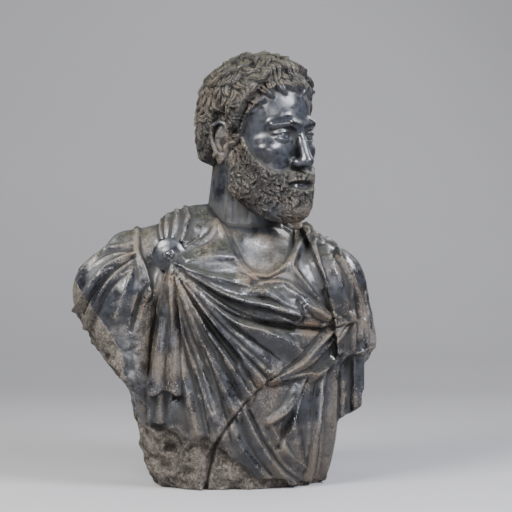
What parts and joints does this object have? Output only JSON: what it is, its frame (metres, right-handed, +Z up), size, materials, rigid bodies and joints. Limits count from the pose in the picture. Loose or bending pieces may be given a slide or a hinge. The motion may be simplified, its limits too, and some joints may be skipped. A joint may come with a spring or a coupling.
{
  "type": "portrait bust",
  "caption": "Dark stone bust of a bearded man with curly hair, head turned to his left, in a cloak pinned on the right shoulder and folded across the chest.",
  "frame": {"origin": "centre of the flat cut underside, on the surface the bust stands on", "axes": "+Z up along the bust, -Y out of the chest, +X towards the figure's own left shoulder"},
  "size_m": [0.5882, 0.3199, 0.7973],
  "materials": {
    "stone": "polished dark stone with brown crust in the hollows and rough breaks"
  },
  "bodies": {
    "root": {"bust": "stone"}
  },
  "joints": []
}
